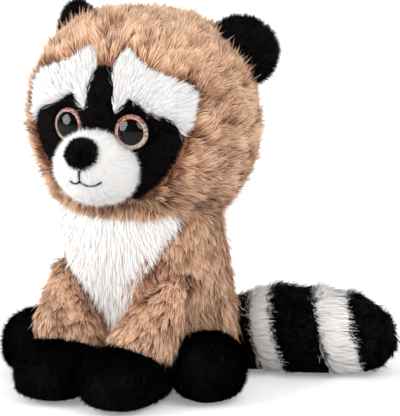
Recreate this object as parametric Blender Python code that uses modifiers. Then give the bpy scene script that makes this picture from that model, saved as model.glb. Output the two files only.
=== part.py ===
"""Sitting plush raccoon, sewn from pile fabric over a soft filling, with moulded glitter eyes.

Lengths are in metres. The toy sits on z = 0 and faces -Y, with its own left side at +X.
Every sewn panel and every stuffed limb is a closed solid: cover and filling together.
"""
import bpy
import bmesh
import math
from mathutils import Matrix, Vector

# Clearance between two pieces that touch
GAP = 0.0003

# Torso: level ellipses from the seat to the neck. Each row has the height, half width, half depth and
# place in Y as shares of the torso's height, half width, half depth and half depth.
TORSO_HEIGHT = 0.1100
TORSO_HALF_WIDTH = 0.0420
TORSO_HALF_DEPTH = 0.0365
TORSO_SECTIONS = (
    (0.000, 0.810, 0.767, 0.110), (0.073, 0.952, 0.932, 0.110), (0.218, 1.000, 0.986, 0.082),
    (0.382, 1.000, 1.000, 0.000), (0.545, 0.988, 0.986, -0.137), (0.709, 0.964, 0.945, -0.274),
    (0.836, 0.917, 0.877, -0.356), (0.936, 0.762, 0.712, -0.356), (1.000, 0.429, 0.411, -0.329),
)
TORSO_SIDES = 28
TORSO_RINGS = 15

# Chest panel, as shares (across, up) of the torso's half width and height, for the toy's left side
CHEST_HALF_OUTLINE = (
    (0.000, 0.964), (0.476, 0.964), (0.774, 0.909), (0.750, 0.827), (0.650, 0.745),
    (0.545, 0.659), (0.460, 0.564), (0.360, 0.436), (0.205, 0.290), (0.000, 0.180),
)

# Head: a wide, slightly squared ball that is fuller at the cheeks than at the crown; the chin hangs lower
HEAD_HALF = Vector((0.0590, 0.0425, 0.0495))
HEAD_RISE = 0.0260
HEAD_CENTRE = Vector((0.0, -0.20 * HEAD_HALF.y, TORSO_HEIGHT + HEAD_RISE))
HEAD_CHIN = 1.06 * HEAD_HALF.z
HEAD_CHEEKS = 0.05
HEAD_SQUARENESS = 2.25
HEAD_SIDES = 40
HEAD_RINGS = 22

# Sewn-in panels lie in a recess of this depth in the head and the torso
PANEL_DEPTH = 0.0022

# Face outlines as shares (across, up) of the head's half width and half height, for the toy's left side.
# The mask runs under both brows; the brows are cut out of it.
MASK_HALF_OUTLINE = (
    (0.000, 0.566), (0.085, 0.545), (0.203, 0.434), (0.407, 0.323), (0.576, 0.242),
    (0.675, 0.081), (0.686, -0.091), (0.636, -0.273), (0.525, -0.465), (0.373, -0.626),
    (0.195, -0.731), (0.000, -0.768),
)
BROW_OUTLINE = (
    (0.085, 0.515), (0.098, 0.642), (0.170, 0.700), (0.290, 0.600), (0.400, 0.530),
    (0.530, 0.475), (0.660, 0.420), (0.745, 0.310), (0.740, 0.131), (0.692, -0.044),
    (0.619, 0.085), (0.508, 0.141), (0.398, 0.186), (0.305, 0.263), (0.251, 0.283),
    (0.203, 0.212), (0.149, 0.117), (0.122, 0.202), (0.125, 0.343),
)
OUTLINE_STEPS = 3

# Ears: flat round pads sewn on at the upper corners of the head
EAR_HALF = Vector((0.0166, 0.0050, 0.0158))
EAR_CENTRE = HEAD_CENTRE + Vector((0.788 * HEAD_HALF.x, 0.376 * HEAD_HALF.y, 0.650 * HEAD_HALF.z))
EAR_LEAN = math.radians(38)
EAR_TURN = math.radians(28)
EAR_SQUARENESS = 2.2
EAR_SIDES = 22
EAR_RINGS = 12

# Muzzle and nose
MUZZLE_HALF = Vector((0.0205, 0.0160, 0.0170))
MUZZLE_CENTRE = HEAD_CENTRE - Vector((0, 1.024 * HEAD_HALF.y, 0.398 * HEAD_HALF.z))
MUZZLE_SQUARENESS = 2.15
MUZZLE_SIDES = 24
MUZZLE_RINGS = 14
NOSE_HALF = Vector((0.0080, 0.0055, 0.0068))
NOSE_SINK = 0.0012
NOSE_RISE = 0.48 * MUZZLE_HALF.z
NOSE_SQUARENESS = 2.2
NOSE_SIDES = 16
NOSE_RINGS = 9

# Mouth: a stitched thread, as shares (across, up) of the muzzle's half width and half height
THREAD_RADIUS = 0.0005
THREAD_ROUNDING = 1
MOUTH_STEM = ((0.0, 0.059), (0.0, -0.271))
MOUTH_CURVE = ((-0.273, -0.271), (-0.205, -0.329), (-0.107, -0.335), (0.0, -0.271),
               (0.166, -0.359), (0.371, -0.347), (0.546, -0.224))
STEM_STEPS = 3
CURVE_STEPS = 14

# Moulded eyes: a clear dome over a glitter ring and a black pupil whose shank is locked by a washer
EYE_SPREAD = 0.302 * HEAD_HALF.x
EYE_DROP = 0.024 * HEAD_HALF.z
EYE_SPLAY = math.radians(13)
EYE_RADIUS = 0.0086
EYE_SINK = 0.0016
DOME_HEIGHT = 0.0052
DOME_RIM = 0.0008
DOME_STEPS = 6
PUPIL_RADIUS = 0.0053
PLATE_THICKNESS = 0.0009
SHANK_RADIUS = 0.0024
SHANK_LENGTH = 0.0130
WASHER_RADIUS = 0.0058
WASHER_THICKNESS = 0.0014
WASHER_DEPTH = 0.0090
EYE_CLEARANCE_AHEAD = 0.0150
TURNED_STEPS = 22
TURNED_MERGE = 0.00002

# Front legs: brown sleeves that widen from the shoulder down to the paw. Each row has the height,
# radius, X and Y as shares of the leg's height and radius and the torso's half width and half depth.
LEG_HEIGHT = 0.0620
LEG_RADIUS = 0.0168
LEG_SECTIONS = (
    (0.339, 0.952, 0.488, -1.205), (0.452, 1.000, 0.512, -1.178), (0.565, 0.940, 0.552, -1.137),
    (0.694, 0.762, 0.624, -1.041), (0.823, 0.560, 0.695, -0.932), (0.935, 0.357, 0.757, -0.822),
    (1.000, 0.149, 0.786, -0.753),
)
LEG_SIDES = 20
LEG_RINGS = 10

# Paws and hind feet: stuffed balls with a flat sole
PAW_HALF = Vector((0.0184, 0.0275, 0.0150))
PAW_CENTRE = Vector((PAW_HALF.x + 2 * GAP, -0.0562, 0.94 * PAW_HALF.z))
PAW_SQUARENESS = 2.6
HIND_HALF = Vector((0.0178, 0.0184, 0.0170))
HIND_CENTRE = Vector((0.0486, -0.0285, 0.95 * HIND_HALF.z))
HIND_TURN = math.radians(20)
HIND_SQUARENESS = 2.2
FOOT_SIDES = 24
FOOT_RINGS = 14

# Tail: a fat tube along a bent axis, thickest half way along and rounded at both ends
TAIL_ROOT = Vector((0.0000, 0.0320, 0.0))
TAIL_BEND = Vector((0.0300, 0.0280, 0.0))
TAIL_TIP = Vector((0.1030, 0.0625, 0.0))
TAIL_ROOT_RADIUS = 0.0080
TAIL_RADIUS = 0.0216
TAIL_END_RADIUS = 0.0186
TAIL_BELLY = 0.0600
TAIL_ROOT_LENGTH = 0.0080
TAIL_TIP_LENGTH = 0.0210
TAIL_ROUNDNESS = 2.1
TAIL_FLAT = 0.0010
TAIL_CAP_RADIUS = 0.0015
TAIL_POINTS = 26
TAIL_ROUNDING = 5
TAIL_SEAMS = (0.0400, 0.0508, 0.0732, 0.0885)
TAIL_SLANT = math.radians(16)
AXIS_STEPS = 200
BANDS_AT_TORSO = 2

# Vertices nearer than this are one, and edges bent more than this stay sharp
MERGE = 0.000001
SHARP_ANGLE = math.radians(40)

BROWN = (0.58, 0.38, 0.24)
WHITE = (0.88, 0.86, 0.84)
BLACK = (0.012, 0.012, 0.013)
THREAD = (0.02, 0.018, 0.018)
GLITTER = (0.75, 0.45, 0.33)
CLEAR = (0.92, 0.93, 0.95)
WASHER_COLOUR = (0.85, 0.85, 0.83)
PILE_ROUGHNESS = 0.95
PLASTIC_ROUGHNESS = 0.12
THREAD_ROUGHNESS = 0.7
GLITTER_ROUGHNESS = 0.35
GLITTER_METALLIC = 0.6
WASHER_ROUGHNESS = 0.5


def clear_scene():
    for item in list(bpy.data.objects):
        bpy.data.objects.remove(item, do_unlink=True)


def new_collection(name):
    collection = bpy.data.collections.new(name)
    bpy.context.scene.collection.children.link(collection)
    return collection


def new_material(name, colour, roughness, metallic=0.0):
    material = bpy.data.materials.new(name)
    material.use_nodes = True
    shader = material.node_tree.nodes["Principled BSDF"]
    shader.inputs["Base Color"].default_value = (*colour, 1.0)
    shader.inputs["Roughness"].default_value = roughness
    shader.inputs["Metallic"].default_value = metallic
    material.diffuse_color = (*colour, 1.0)
    return material


clear_scene()
toy = new_collection("plush_raccoon")
cutters = new_collection("cutters")

brown_pile = new_material("brown_pile", BROWN, PILE_ROUGHNESS)
white_pile = new_material("white_pile", WHITE, PILE_ROUGHNESS)
black_pile = new_material("black_pile", BLACK, PILE_ROUGHNESS)
mouth_thread = new_material("mouth_thread", THREAD, THREAD_ROUGHNESS)
eye_clear = new_material("eye_clear", CLEAR, PLASTIC_ROUGHNESS)
eye_black = new_material("eye_black", BLACK, PLASTIC_ROUGHNESS)
eye_glitter = new_material("eye_glitter", GLITTER, GLITTER_ROUGHNESS, GLITTER_METALLIC)
washer_plastic = new_material("washer_plastic", WASHER_COLOUR, WASHER_ROUGHNESS)

base = bpy.data.objects.new("plush_raccoon_base", None)
toy.objects.link(base)


def add_piece(name, mesh, material):
    """A visible piece of the toy, carried by the base empty."""
    piece = bpy.data.objects.new(name, mesh)
    piece.data.materials.append(material)
    piece.parent = base
    toy.objects.link(piece)
    return piece


def add_cutter(name, mesh):
    """A helper solid that only shapes other pieces."""
    cutter = bpy.data.objects.new(name, mesh)
    cutter.hide_render = True
    cutter.display_type = "WIRE"
    cutter.parent = base
    cutters.objects.link(cutter)
    return cutter


def boolean(piece, operation, cutter):
    modifier = piece.modifiers.new(f"{operation.lower()} {cutter.name}", "BOOLEAN")
    modifier.operation = operation
    modifier.object = cutter
    modifier.solver = "EXACT"


def smooth(mesh):
    mesh.shade_smooth()
    mesh.set_sharp_from_angle(angle=SHARP_ANGLE)


def ball_mesh(name, half, squareness, sides, rings, centre, turn=None, chin=None, cheeks=0.0,
              flat_below=None):
    """A stuffed ball: a sphere pulled out to a superellipsoid, if asked with chin, cheeks or a flat sole."""
    mesh = bpy.data.meshes.new(name)
    work = bmesh.new()
    bmesh.ops.create_uvsphere(work, u_segments=sides, v_segments=rings, radius=1.0)
    for vertex in work.verts:
        reach = sum(abs(part) ** squareness for part in vertex.co) ** (1.0 / squareness)
        vertex.co = Vector(part / reach * size for part, size in zip(vertex.co, half))
        vertex.co.x *= cheek_width(vertex.co.z, half.z, cheeks)
        if chin is not None and vertex.co.z < 0:
            vertex.co.z *= chin / half.z
    if turn is not None:
        bmesh.ops.transform(work, matrix=turn, verts=work.verts)
    bmesh.ops.translate(work, vec=centre, verts=work.verts)
    if flat_below is not None:
        cut_flat(work, Vector((0, 0, flat_below)), Vector((0, 0, -1)))
    work.to_mesh(mesh)
    work.free()
    smooth(mesh)
    return mesh


def cheek_width(up, half_height, cheeks):
    """How much wider than its middle a ball is at a height: more below it, less above."""
    return 1 - cheeks * max(-1.0, min(1.0, up / half_height))


def scaled(rows, *sizes):
    """Shares turned into lengths, column by column."""
    return [tuple(share * size for share, size in zip(row, sizes)) for row in rows]


def cut_flat(work, point, outward):
    """Takes away what lies beyond a plane and closes the cut with one flat face."""
    everything = work.verts[:] + work.edges[:] + work.faces[:]
    cut = bmesh.ops.bisect_plane(work, geom=everything, plane_co=point, plane_no=outward,
                                 clear_outer=True, dist=MERGE)
    rim = [item for item in cut["geom_cut"] if isinstance(item, bmesh.types.BMEdge)]
    if rim:
        bmesh.ops.contextual_create(work, geom=rim)
        bmesh.ops.recalc_face_normals(work, faces=work.faces)


def blend(sections, place):
    """A smooth value through rows of numbers, by a Catmull-Rom curve; place runs from 0 to 1."""
    last = len(sections) - 1
    start = min(int(place * last), last - 1)
    t = place * last - start
    rows = [sections[max(0, min(last, start + step))] for step in (-1, 0, 1, 2)]
    values = []
    for a, b, c, d in zip(*rows):
        bend = (2 * a - 5 * b + 4 * c - d) * t + (3 * b - a - 3 * c + d) * t * t
        values.append(b + 0.5 * t * (c - a + bend))
    return values


def loft_mesh(name, rings, sides):
    """A closed skin over level ellipses, each given as (centre, half width, half depth)."""
    mesh = bpy.data.meshes.new(name)
    work = bmesh.new()
    rows = []
    for centre, wide, deep in rings:
        row = []
        for side in range(sides):
            angle = 2 * math.pi * (side + 0.5) / sides
            spot = centre + Vector((wide * math.cos(angle), deep * math.sin(angle), 0))
            row.append(work.verts.new(spot))
        rows.append(row)
    for low, high in zip(rows, rows[1:]):
        for side in range(sides):
            after = (side + 1) % sides
            work.faces.new((low[side], low[after], high[after], high[side]))
    work.faces.new(list(reversed(rows[0])))
    work.faces.new(rows[-1])
    work.to_mesh(mesh)
    work.free()
    smooth(mesh)
    return mesh


def torso_mesh(name, grow=0.0):
    sections = scaled(TORSO_SECTIONS, TORSO_HEIGHT, TORSO_HALF_WIDTH, TORSO_HALF_DEPTH, TORSO_HALF_DEPTH)
    rings = []
    for index in range(TORSO_RINGS + 1):
        height, wide, deep, centre_y = blend(sections, index / TORSO_RINGS)
        if index == 0:
            height -= grow
        if index == TORSO_RINGS:
            height += grow
        rings.append((Vector((0, centre_y, height)), wide + grow, deep + grow))
    return loft_mesh(name, rings, TORSO_SIDES)


def leg_mesh(name, side):
    sections = scaled(LEG_SECTIONS, LEG_HEIGHT, LEG_RADIUS, TORSO_HALF_WIDTH, TORSO_HALF_DEPTH)
    rings = []
    for index in range(LEG_RINGS + 1):
        height, radius, x, y = blend(sections, index / LEG_RINGS)
        rings.append((Vector((side * x, y, height)), radius, radius))
    return loft_mesh(name, rings, LEG_SIDES)


def head_mesh(name, grow=0.0):
    half = HEAD_HALF + Vector((grow, grow, grow))
    return ball_mesh(name, half, HEAD_SQUARENESS, HEAD_SIDES, HEAD_RINGS, HEAD_CENTRE,
                     chin=HEAD_CHIN + grow, cheeks=HEAD_CHEEKS)


def closed_curve(points, steps=OUTLINE_STEPS):
    """A closed smooth line through a few points."""
    count = len(points)
    line = []
    for index in range(count):
        rows = [points[(index + step) % count] for step in (-1, 0, 1, 2)]
        for step in range(steps):
            t = step / steps
            spot = []
            for a, b, c, d in zip(*rows):
                bend = (2 * a - 5 * b + 4 * c - d) * t + (3 * b - a - 3 * c + d) * t * t
                spot.append(b + 0.5 * t * (c - a + bend))
            line.append(Vector(spot))
    return line


def shifted(line, distance):
    """The same closed line moved outwards by a distance, or inwards where it is negative."""
    count = len(line)
    area = sum(line[i - 1].cross(line[i]) for i in range(count))
    turn = 1 if area > 0 else -1
    moved = []
    for index in range(count):
        along = (line[(index + 1) % count] - line[index - 1]).normalized()
        outward = Vector((along.y, -along.x)) * turn
        moved.append(line[index] + outward * distance)
    return moved


def both_sides(half):
    """A closed outline from its half at +X, whose first and last points lie on the middle line."""
    mirrored = [(-x, z) for x, z in reversed(half[1:-1])]
    return list(half) + mirrored


def outline_cutter(name, line, origin, reach):
    """A flat outline in the XZ plane, drawn out towards -Y from its origin."""
    curve = bpy.data.curves.new(name, "CURVE")
    curve.dimensions = "2D"
    curve.fill_mode = "BOTH"
    curve.extrude = reach / 2
    spline = curve.splines.new("POLY")
    spline.points.add(len(line) - 1)
    for point, spot in zip(spline.points, line):
        point.co = (spot.x, spot.y, 0, 1)
    spline.use_cyclic_u = True
    guide = bpy.data.objects.new(name, curve)
    guide.matrix_world = Matrix.Translation(origin + Vector((0, -reach / 2, 0))) @ Matrix.Rotation(
        math.radians(90), 4, "X")
    bpy.context.scene.collection.objects.link(guide)
    bpy.context.view_layer.update()
    solid = bpy.data.meshes.new_from_object(guide.evaluated_get(bpy.context.evaluated_depsgraph_get()))
    solid.transform(guide.matrix_world)
    bpy.data.objects.remove(guide, do_unlink=True)
    work = bmesh.new()
    work.from_mesh(solid)
    bmesh.ops.remove_doubles(work, verts=work.verts, dist=MERGE)
    bmesh.ops.recalc_face_normals(work, faces=work.faces)
    work.to_mesh(solid)
    work.free()
    return add_cutter(name, solid)


def turned_mesh(name, profile, closed=False):
    """A profile of (radius, height) turned about its own Z axis by a Screw modifier."""
    mesh = bpy.data.meshes.new(name)
    count = len(profile)
    edges = [(index, index + 1) for index in range(count - 1)]
    if closed:
        edges.append((count - 1, 0))
    mesh.from_pydata([(radius, 0, height) for radius, height in profile], edges, [])
    return mesh


def turn(piece):
    screw = piece.modifiers.new("turn", "SCREW")
    screw.axis = "Z"
    screw.angle = 2 * math.pi
    screw.steps = TURNED_STEPS
    screw.render_steps = TURNED_STEPS
    screw.use_merge_vertices = True
    screw.merge_threshold = TURNED_MERGE
    screw.use_smooth_shade = True


def on_ball(x, z, half, squareness):
    """How far in front of its centre a ball's surface lies, at a place seen from the front."""
    rest = 1 - abs(x / half.x) ** squareness - abs(z / half.z) ** squareness
    return half.y * max(rest, 0.0) ** (1 / squareness)


# Cutting forms shared by several pieces
head_clear = add_cutter("head_clear", head_mesh("head_clear", GAP))
head_under = add_cutter("head_under", head_mesh("head_under", -PANEL_DEPTH))
head_recess_floor = add_cutter("head_recess_floor", head_mesh("head_recess_floor", -PANEL_DEPTH - GAP))
torso_clear = add_cutter("torso_clear", torso_mesh("torso_clear", GAP))
torso_under = add_cutter("torso_under", torso_mesh("torso_under", -PANEL_DEPTH))
torso_recess_floor = add_cutter("torso_recess_floor", torso_mesh("torso_recess_floor", -PANEL_DEPTH - GAP))


def eye_frame(side):
    """Where an eye's back plate lies, with its own +Z looking out of the face."""
    across = EYE_SPREAD / cheek_width(-EYE_DROP, HEAD_HALF.z, HEAD_CHEEKS)
    front = on_ball(across, -EYE_DROP, HEAD_HALF, HEAD_SQUARENESS)
    spot = HEAD_CENTRE + Vector((side * EYE_SPREAD, -front, -EYE_DROP))
    outward = Vector((side * math.sin(EYE_SPLAY), -math.cos(EYE_SPLAY), 0))
    facing = outward.to_track_quat("Z", "Y").to_matrix().to_4x4()
    return Matrix.Translation(spot - outward * EYE_SINK) @ facing


def make_eye_cutter(name, side):
    """The seat of the plate, the hole of the shank and the room of the washer, as one turned form."""
    seat = EYE_RADIUS + GAP
    bore = SHANK_RADIUS + GAP
    room = WASHER_RADIUS + GAP
    washer_top = -WASHER_DEPTH + GAP
    washer_low = -WASHER_DEPTH - WASHER_THICKNESS - GAP
    profile = [(0, EYE_CLEARANCE_AHEAD), (seat, EYE_CLEARANCE_AHEAD), (seat, -GAP), (bore, -GAP),
               (bore, washer_top), (room, washer_top), (room, washer_low), (bore, washer_low),
               (bore, -SHANK_LENGTH - GAP), (0, -SHANK_LENGTH - GAP)]
    cutter = add_cutter(name, turned_mesh(name, profile))
    turn(cutter)
    cutter.matrix_world = eye_frame(side)
    return cutter


def make_eye(word, side):
    frame = eye_frame(side)
    plate_top = PLATE_THICKNESS
    pupil_profile = [(0, plate_top), (PUPIL_RADIUS, plate_top), (PUPIL_RADIUS, 0), (SHANK_RADIUS, 0),
                     (SHANK_RADIUS, -SHANK_LENGTH), (0, -SHANK_LENGTH)]
    ring_inner = PUPIL_RADIUS + GAP
    ring_profile = [(ring_inner, plate_top), (EYE_RADIUS, plate_top), (EYE_RADIUS, 0), (ring_inner, 0)]
    dome_low = plate_top + GAP
    dome_profile = []
    for step in range(DOME_STEPS + 1):
        angle = math.pi / 2 * step / DOME_STEPS
        dome_profile.append((EYE_RADIUS * math.sin(angle),
                             dome_low + DOME_RIM + (DOME_HEIGHT - DOME_RIM) * math.cos(angle)))
    dome_profile += [(EYE_RADIUS, dome_low), (0, dome_low)]
    washer_inner = SHANK_RADIUS + GAP
    washer_low = -WASHER_DEPTH - WASHER_THICKNESS
    washer_profile = [(washer_inner, -WASHER_DEPTH), (WASHER_RADIUS, -WASHER_DEPTH),
                      (WASHER_RADIUS, washer_low), (washer_inner, washer_low)]
    pieces = (("pupil", pupil_profile, False, eye_black), ("ring", ring_profile, True, eye_glitter),
              ("dome", dome_profile, False, eye_clear), ("washer", washer_profile, True, washer_plastic))
    for part, profile, closed, material in pieces:
        name = f"eye_{word}_{part}"
        piece = add_piece(name, turned_mesh(name, profile, closed), material)
        turn(piece)
        piece.matrix_world = frame


def make_head():
    head = add_piece("head", head_mesh("head"), brown_pile)
    mask_line = closed_curve(both_sides(scaled(MASK_HALF_OUTLINE, HEAD_HALF.x, HEAD_HALF.z)))
    brow_lines = {}
    for word, side in (("left", 1), ("right", -1)):
        brow_lines[word] = closed_curve(scaled(BROW_OUTLINE, side * HEAD_HALF.x, HEAD_HALF.z))
    reach = 2 * HEAD_HALF.y
    recess = outline_cutter("face_recess", mask_line, HEAD_CENTRE, reach)
    for word in brow_lines:
        boolean(recess, "UNION", outline_cutter(f"brow_{word}_recess", brow_lines[word], HEAD_CENTRE, reach))
    boolean(recess, "DIFFERENCE", head_recess_floor)
    boolean(head, "DIFFERENCE", recess)

    mask_outline = outline_cutter("mask_outline", shifted(mask_line, -GAP), HEAD_CENTRE, reach)
    mask = add_piece("face_mask", head_mesh("face_mask"), black_pile)
    brows = {}
    boolean(mask, "INTERSECT", mask_outline)
    for word in brow_lines:
        room = outline_cutter(f"brow_{word}_room", shifted(brow_lines[word], GAP), HEAD_CENTRE, reach)
        boolean(mask, "DIFFERENCE", room)
        outline = outline_cutter(f"brow_{word}_outline", shifted(brow_lines[word], -GAP), HEAD_CENTRE, reach)
        brow = add_piece(f"brow_{word}", head_mesh(f"brow_{word}"), white_pile)
        boolean(brow, "INTERSECT", outline)
        boolean(brow, "DIFFERENCE", head_under)
        brows[word] = brow
    boolean(mask, "DIFFERENCE", head_under)
    return head, mask, brows


def muzzle_mesh(name, grow=0.0):
    half = MUZZLE_HALF + Vector((grow, grow, grow))
    return ball_mesh(name, half, MUZZLE_SQUARENESS, MUZZLE_SIDES, MUZZLE_RINGS, MUZZLE_CENTRE)


def make_muzzle():
    muzzle = add_piece("muzzle", muzzle_mesh("muzzle"), white_pile)
    boolean(muzzle, "DIFFERENCE", head_clear)
    front = on_ball(0, NOSE_RISE, MUZZLE_HALF, MUZZLE_SQUARENESS)
    nose_centre = MUZZLE_CENTRE + Vector((0, -front + NOSE_SINK, NOSE_RISE))
    nose_form = ball_mesh("nose", NOSE_HALF, NOSE_SQUARENESS, NOSE_SIDES, NOSE_RINGS, nose_centre)
    nose = add_piece("nose", nose_form, black_pile)
    boolean(nose, "DIFFERENCE", add_cutter("muzzle_clear", muzzle_mesh("muzzle_clear", GAP)))
    return muzzle


def thread_mesh(name, places):
    """A thread laid on the muzzle through places seen from the front."""
    curve = bpy.data.curves.new(name, "CURVE")
    curve.dimensions = "3D"
    curve.bevel_depth = THREAD_RADIUS
    curve.bevel_resolution = THREAD_ROUNDING
    curve.use_fill_caps = True
    spline = curve.splines.new("POLY")
    spline.points.add(len(places) - 1)
    lift = THREAD_RADIUS + GAP
    half = MUZZLE_HALF + Vector((lift, lift, lift))
    for point, (x, z) in zip(spline.points, places):
        y = -on_ball(x, z, half, MUZZLE_SQUARENESS)
        point.co = (*(MUZZLE_CENTRE + Vector((x, y, z))), 1)
    guide = bpy.data.objects.new(name, curve)
    bpy.context.scene.collection.objects.link(guide)
    bpy.context.view_layer.update()
    solid = bpy.data.meshes.new_from_object(guide.evaluated_get(bpy.context.evaluated_depsgraph_get()))
    bpy.data.objects.remove(guide, do_unlink=True)
    work = bmesh.new()
    work.from_mesh(solid)
    bmesh.ops.remove_doubles(work, verts=work.verts, dist=MERGE)
    bmesh.ops.recalc_face_normals(work, faces=work.faces)
    work.to_mesh(solid)
    work.free()
    return solid


def stitched(points, steps):
    """Evenly spaced places along a smooth line through shares of the muzzle's half sizes."""
    line = scaled(points, MUZZLE_HALF.x, MUZZLE_HALF.z)
    return [blend(line, step / steps) for step in range(steps + 1)]


def make_mouth():
    smile = thread_mesh("mouth_stitching", stitched(MOUTH_CURVE, CURVE_STEPS))
    stem = thread_mesh("mouth_stem", stitched(MOUTH_STEM, STEM_STEPS))
    mouth = add_piece("mouth_stitching", smile, mouth_thread)
    boolean(mouth, "UNION", add_cutter("mouth_stem", stem))


def make_ear(word, side):
    lean = Matrix.Rotation(side * EAR_LEAN, 4, "Y")
    facing = Matrix.Rotation(side * EAR_TURN, 4, "Z")
    centre = Vector((side * EAR_CENTRE.x, EAR_CENTRE.y, EAR_CENTRE.z))
    form = ball_mesh(f"ear_{word}", EAR_HALF, EAR_SQUARENESS, EAR_SIDES, EAR_RINGS, centre,
                     turn=facing @ lean)
    ear = add_piece(f"ear_{word}", form, black_pile)
    boolean(ear, "DIFFERENCE", head_clear)


def make_torso():
    torso = add_piece("torso", torso_mesh("torso"), brown_pile)
    chest_line = closed_curve(both_sides(scaled(CHEST_HALF_OUTLINE, TORSO_HALF_WIDTH, TORSO_HEIGHT)))
    reach = 2 * TORSO_HALF_DEPTH
    recess = outline_cutter("chest_recess", chest_line, Vector((0, 0, 0)), reach)
    boolean(recess, "DIFFERENCE", torso_recess_floor)
    boolean(torso, "DIFFERENCE", recess)
    boolean(torso, "DIFFERENCE", head_clear)
    outline = outline_cutter("chest_outline", shifted(chest_line, -GAP), Vector((0, 0, 0)), reach)
    chest = add_piece("chest_panel", torso_mesh("chest_panel"), white_pile)
    boolean(chest, "INTERSECT", outline)
    boolean(chest, "DIFFERENCE", torso_under)
    boolean(chest, "DIFFERENCE", head_clear)


def paw_form(name, side, grow=0.0, flat_below=None):
    half = PAW_HALF + Vector((grow, grow, grow))
    centre = Vector((side * PAW_CENTRE.x, PAW_CENTRE.y, PAW_CENTRE.z))
    return ball_mesh(name, half, PAW_SQUARENESS, FOOT_SIDES, FOOT_RINGS, centre, flat_below=flat_below)


def hind_form(name, side, grow=0.0, flat_below=None):
    half = HIND_HALF + Vector((grow, grow, grow))
    centre = Vector((side * HIND_CENTRE.x, HIND_CENTRE.y, HIND_CENTRE.z))
    facing = Matrix.Rotation(side * HIND_TURN, 4, "Z")
    return ball_mesh(name, half, HIND_SQUARENESS, FOOT_SIDES, FOOT_RINGS, centre, turn=facing,
                     flat_below=flat_below)


def make_limbs(word, side):
    paw_clear = add_cutter(f"front_paw_{word}_clear", paw_form(f"front_paw_{word}_clear", side, GAP))
    hind_clear = add_cutter(f"hind_foot_{word}_clear", hind_form(f"hind_foot_{word}_clear", side, GAP))
    paw = add_piece(f"front_paw_{word}", paw_form(f"front_paw_{word}", side, flat_below=0), black_pile)
    boolean(paw, "DIFFERENCE", torso_clear)
    hind = add_piece(f"hind_foot_{word}", hind_form(f"hind_foot_{word}", side, flat_below=0), black_pile)
    boolean(hind, "DIFFERENCE", torso_clear)
    boolean(hind, "DIFFERENCE", paw_clear)
    leg = add_piece(f"front_leg_{word}", leg_mesh(f"front_leg_{word}", side), brown_pile)
    for cutter in (torso_clear, paw_clear, hind_clear, head_clear):
        boolean(leg, "DIFFERENCE", cutter)


def tail_place(t):
    """A point of the tail's axis on the ground plan and its direction there."""
    spot = TAIL_ROOT * (1 - t) ** 2 + TAIL_BEND * 2 * t * (1 - t) + TAIL_TIP * t * t
    along = (TAIL_BEND - TAIL_ROOT) * (1 - t) + (TAIL_TIP - TAIL_BEND) * t
    return spot, along.normalized()


def tail_girth(distance, length):
    """The tail's radius before its ends are rounded: it swells to its belly and thins towards the tip."""
    if distance < TAIL_BELLY:
        swell = math.sin(distance / TAIL_BELLY * math.pi / 2)
        return TAIL_ROOT_RADIUS + (TAIL_RADIUS - TAIL_ROOT_RADIUS) * swell
    thin = (distance - TAIL_BELLY) / (length - TAIL_BELLY)
    return TAIL_RADIUS + (TAIL_END_RADIUS - TAIL_RADIUS) * (1 - math.cos(thin * math.pi)) / 2


def end_rounding(left, reach):
    """The share of the radius that is left near a rounded end."""
    if left >= reach:
        return 1.0
    return (1 - (1 - left / reach) ** TAIL_ROUNDNESS) ** (1 / TAIL_ROUNDNESS)


def tail_measures():
    """Evenly fine steps along the axis, as (t, distance from the root)."""
    spots = [tail_place(index / AXIS_STEPS)[0] for index in range(AXIS_STEPS + 1)]
    distances = [0.0]
    for first, second in zip(spots, spots[1:]):
        distances.append(distances[-1] + (second - first).length)
    return [(index / AXIS_STEPS, distance) for index, distance in enumerate(distances)]


def place_at(measures, distance):
    for (t0, d0), (t1, d1) in zip(measures, measures[1:]):
        if distance <= d1:
            return t0 + (t1 - t0) * (distance - d0) / (d1 - d0)
    return 1.0


def tail_mesh(name, measures):
    """The whole tail as one tube whose bevel follows the changing radius, with its sole on the ground."""
    length = measures[-1][1]
    curve = bpy.data.curves.new(name, "CURVE")
    curve.dimensions = "3D"
    curve.bevel_depth = 1.0
    curve.bevel_resolution = TAIL_ROUNDING
    curve.use_fill_caps = True
    spline = curve.splines.new("POLY")
    spline.points.add(TAIL_POINTS - 1)
    for index, point in enumerate(spline.points):
        distance = length * (1 - math.cos(index / (TAIL_POINTS - 1) * math.pi)) / 2
        spot = tail_place(place_at(measures, distance))[0]
        girth = tail_girth(distance, length)
        ends = end_rounding(distance, TAIL_ROOT_LENGTH) * end_rounding(length - distance, TAIL_TIP_LENGTH)
        point.co = (spot.x, spot.y, girth - TAIL_FLAT, 1)
        point.radius = max(girth * ends, TAIL_CAP_RADIUS)
    guide = bpy.data.objects.new(name, curve)
    bpy.context.scene.collection.objects.link(guide)
    bpy.context.view_layer.update()
    solid = bpy.data.meshes.new_from_object(guide.evaluated_get(bpy.context.evaluated_depsgraph_get()))
    bpy.data.objects.remove(guide, do_unlink=True)
    return solid


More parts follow.
